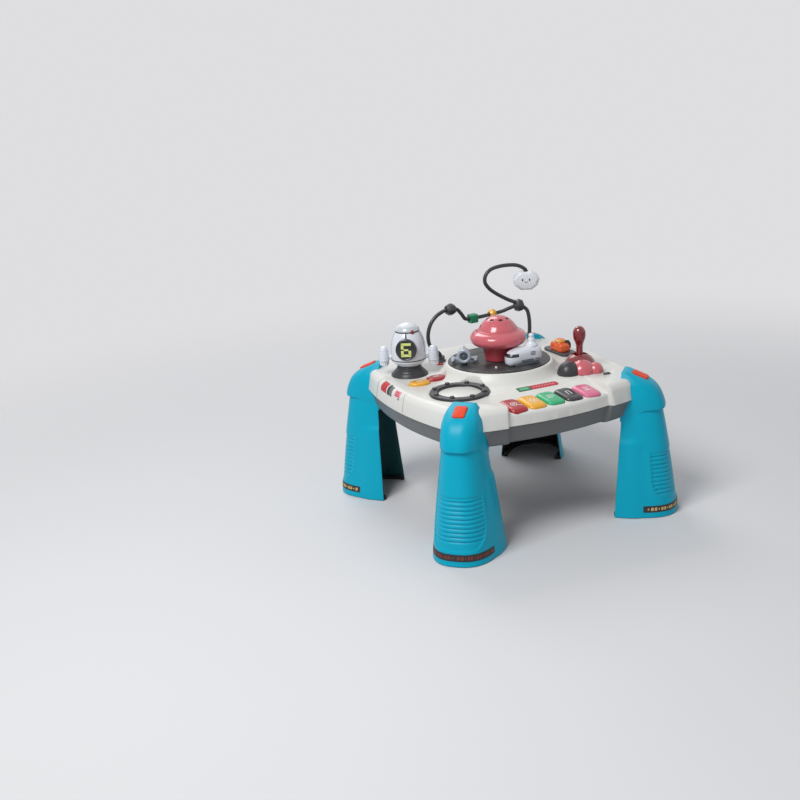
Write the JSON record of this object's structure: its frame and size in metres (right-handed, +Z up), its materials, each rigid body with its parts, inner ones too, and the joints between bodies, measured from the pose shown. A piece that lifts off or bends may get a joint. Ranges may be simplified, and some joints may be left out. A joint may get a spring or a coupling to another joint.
{
  "type": "activity table",
  "caption": "Low play table with a turntable, turning rocket, spinning ring, keys, lever, sliding car and bead arch on hollow clip-on legs.",
  "frame": {"origin": "on the floor under the middle of the table top, z = 0 at the feet", "axes": "+Z up, -Y towards the child at the keyboard side, +X to the child's right"},
  "size_m": [0.446, 0.446, 0.3847],
  "materials": {
    "white_plastic": "moulded, satin",
    "grey_plastic": "moulded, satin",
    "blue_plastic": "moulded, semi gloss",
    "orange_plastic": "moulded, semi gloss",
    "black_plastic": "moulded, satin",
    "foot_rubber": "matte",
    "pale_plastic": "moulded, glossy",
    "silver_plastic": "metallic paint look",
    "pink_gloss": "moulded, glossy",
    "deep_pink_gloss": "moulded, glossy",
    "crimson_gloss": "clear gloss",
    "red_plastic": "moulded, glossy",
    "yellow_plastic": "moulded, glossy",
    "green_plastic": "moulded, glossy",
    "pink_plastic": "moulded, glossy",
    "board_laminate": "solder mask",
    "steel": "turned"
  },
  "bodies": {
    "housing": {"top_shell": "white_plastic", "bottom_shell": "grey_plastic", "battery_door": "grey_plastic", "circuit_board": "board_laminate", "speaker": "black_plastic", "rocket_base": "black_plastic", "lever_base": "pink_gloss", "lever_guard": "crimson_gloss", "lever_dome": "black_plastic", "slider_track": "black_plastic", "arch_left_tube": "black_plastic", "arch_swan_tube": "black_plastic", "arch_right_tube": "black_plastic", "arch_connector": "black_plastic", "arch_left_socket": "black_plastic", "arch_right_socket": "black_plastic"},
    "turntable": {"turntable_disc": "black_plastic", "turntable_spindle": "steel", "shuttle_body": "pale_plastic", "shuttle_visor": "black_plastic", "shuttle_mast": "silver_plastic", "plane_body": "silver_plastic", "plane_engine": "silver_plastic"},
    "saucer": {"saucer_base": "deep_pink_gloss", "saucer_rim": "pink_gloss", "saucer_dome": "pink_gloss"},
    "rocket": {"rocket_body": "pale_plastic", "rocket_nose": "pale_plastic", "rocket_display": "black_plastic", "rocket_booster_left": "pale_plastic", "rocket_booster_right": "pale_plastic"},
    "ring": {"ring_spinner": "black_plastic"},
    "yellow_button": {"button_yellow": "yellow_plastic"},
    "red_button": {"button_red": "red_plastic"},
    "small_button": {"button_small": "red_plastic"},
    "lever": {"lever_stick": "crimson_gloss"},
    "power": {"power_switch": "black_plastic"},
    "car": {"slider_car": "orange_plastic"},
    "car_wheel": {"slider_wheel": "black_plastic"},
    "black_bead": {"bead_black": "black_plastic"},
    "green_bead": {"bead_green": "green_plastic"},
    "yellow_bead": {"bead_yellow": "yellow_plastic"},
    "charm": {"cloud_charm": "white_plastic"},
    "red_key": {"key_red": "red_plastic"},
    "yellow_key": {"key_yellow": "yellow_plastic"},
    "green_key": {"key_green": "green_plastic"},
    "black_key": {"key_black": "black_plastic"},
    "pink_key": {"key_pink": "pink_plastic"},
    "near_leg": {"leg_near": "blue_plastic", "leg_foot_near": "foot_rubber"},
    "near_latch": {"leg_latch_near": "orange_plastic"},
    "right_leg": {"leg_right": "blue_plastic", "leg_foot_right": "foot_rubber"},
    "right_latch": {"leg_latch_right": "orange_plastic"},
    "far_leg": {"leg_far": "blue_plastic", "leg_foot_far": "foot_rubber"},
    "far_latch": {"leg_latch_far": "orange_plastic"},
    "left_leg": {"leg_left": "blue_plastic", "leg_foot_left": "foot_rubber"},
    "left_latch": {"leg_latch_left": "orange_plastic"}
  },
  "joints": [
    {"name": "turntable_spin", "type": "hinge", "parent": "housing", "child": "turntable", "pos_m": [0, 0, 0.228], "axis": [0, 0, 1], "continuous": true},
    {"name": "saucer_spin", "type": "hinge", "parent": "turntable", "child": "saucer", "pos_m": [0, 0, 0.248], "axis": [0, 0, 1], "continuous": true},
    {"name": "rocket_turn", "type": "hinge", "parent": "housing", "child": "rocket", "pos_m": [-0.133, 0.069, 0.247], "axis": [0, 0, 1], "continuous": true},
    {"name": "ring_spin", "type": "hinge", "parent": "housing", "child": "ring", "pos_m": [-0.117, -0.076, 0.228], "axis": [0, 0, 1], "continuous": true},
    {"name": "red_key_press", "type": "hinge", "parent": "housing", "child": "red_key", "pos_m": [0, -0.14285, 0.22137], "axis": [1, 0, 0], "range_deg": [0, 5], "stiffness_Nm_per_rad": 0.3, "springref_deg": -5.73},
    {"name": "yellow_key_press", "type": "hinge", "parent": "housing", "child": "yellow_key", "pos_m": [0, -0.14285, 0.22137], "axis": [1, 0, 0], "range_deg": [0, 5], "stiffness_Nm_per_rad": 0.3, "springref_deg": -5.73},
    {"name": "green_key_press", "type": "hinge", "parent": "housing", "child": "green_key", "pos_m": [0, -0.14285, 0.22137], "axis": [1, 0, 0], "range_deg": [0, 5], "stiffness_Nm_per_rad": 0.3, "springref_deg": -5.73},
    {"name": "black_key_press", "type": "hinge", "parent": "housing", "child": "black_key", "pos_m": [0, -0.14285, 0.22137], "axis": [1, 0, 0], "range_deg": [0, 5], "stiffness_Nm_per_rad": 0.3, "springref_deg": -5.73},
    {"name": "pink_key_press", "type": "hinge", "parent": "housing", "child": "pink_key", "pos_m": [0, -0.14285, 0.22137], "axis": [1, 0, 0], "range_deg": [0, 5], "stiffness_Nm_per_rad": 0.3, "springref_deg": -5.73},
    {"name": "yellow_button_press", "type": "slide", "parent": "housing", "child": "yellow_button", "axis": [0, 0, -1], "range_m": [0, 0.003], "stiffness_N_per_m": 300, "springref_m": -0.001},
    {"name": "red_button_press", "type": "slide", "parent": "housing", "child": "red_button", "axis": [0, 0, -1], "range_m": [0, 0.003], "stiffness_N_per_m": 300, "springref_m": -0.001},
    {"name": "small_button_press", "type": "slide", "parent": "housing", "child": "small_button", "axis": [0, 0, -1], "range_m": [0, 0.0015], "stiffness_N_per_m": 300, "springref_m": -0.001},
    {"name": "near_leg_pull", "type": "slide", "parent": "housing", "child": "near_leg", "axis": [0, 0, 1], "range_m": [-0.075, 0]},
    {"name": "near_latch_press", "type": "slide", "parent": "near_leg", "child": "near_latch", "axis": [0.2649, 0.2649, -0.9272], "range_m": [0, 0.002], "stiffness_N_per_m": 600, "springref_m": -0.001},
    {"name": "right_leg_pull", "type": "slide", "parent": "housing", "child": "right_leg", "axis": [0, 0, 1], "range_m": [-0.075, 0]},
    {"name": "right_latch_press", "type": "slide", "parent": "right_leg", "child": "right_latch", "axis": [-0.2649, 0.2649, -0.9272], "range_m": [0, 0.002], "stiffness_N_per_m": 600, "springref_m": -0.001},
    {"name": "far_leg_pull", "type": "slide", "parent": "housing", "child": "far_leg", "axis": [0, 0, 1], "range_m": [-0.075, 0]},
    {"name": "far_latch_press", "type": "slide", "parent": "far_leg", "child": "far_latch", "axis": [-0.2649, -0.2649, -0.9272], "range_m": [0, 0.002], "stiffness_N_per_m": 600, "springref_m": -0.001},
    {"name": "left_leg_pull", "type": "slide", "parent": "housing", "child": "left_leg", "axis": [0, 0, 1], "range_m": [-0.075, 0]},
    {"name": "left_latch_press", "type": "slide", "parent": "left_leg", "child": "left_latch", "axis": [0.2649, -0.2649, -0.9272], "range_m": [0, 0.002], "stiffness_N_per_m": 600, "springref_m": -0.001},
    {"name": "lever_swing", "type": "hinge", "parent": "housing", "child": "lever", "pos_m": [0.108, -0.078, 0.243], "axis": [0, 1, 0], "range_deg": [-20, 20]},
    {"name": "power_slide", "type": "slide", "parent": "housing", "child": "power", "axis": [1, 0, 0], "range_m": [0, 0.003]},
    {"name": "car_slide", "type": "slide", "parent": "housing", "child": "car", "axis": [0, 1, 0], "range_m": [-0.011, 0.011]},
    {"name": "car_wheel_spin", "type": "hinge", "parent": "car", "child": "car_wheel", "pos_m": [0.1493, 0.023, 0.2415], "axis": [1, 0, 0], "continuous": true},
    {"name": "black_bead_spin", "type": "hinge", "parent": "housing", "child": "black_bead", "pos_m": [-0.032, 0.105, 0.31701], "axis": [0.9992, 0, -0.041], "continuous": true},
    {"name": "green_bead_spin", "type": "hinge", "parent": "housing", "child": "green_bead", "pos_m": [0.01103, 0.105, 0.29479], "axis": [0.9999, 0, 0.017], "continuous": true},
    {"name": "yellow_bead_spin", "type": "hinge", "parent": "housing", "child": "yellow_bead", "pos_m": [0.04998, 0.10485, 0.29644], "axis": [0.9986, 0.017, 0.051], "continuous": true},
    {"name": "charm_spin", "type": "hinge", "parent": "housing", "child": "charm", "pos_m": [0.11253, 0.09201, 0.352], "axis": [0, 0, 1], "continuous": true}
  ]
}
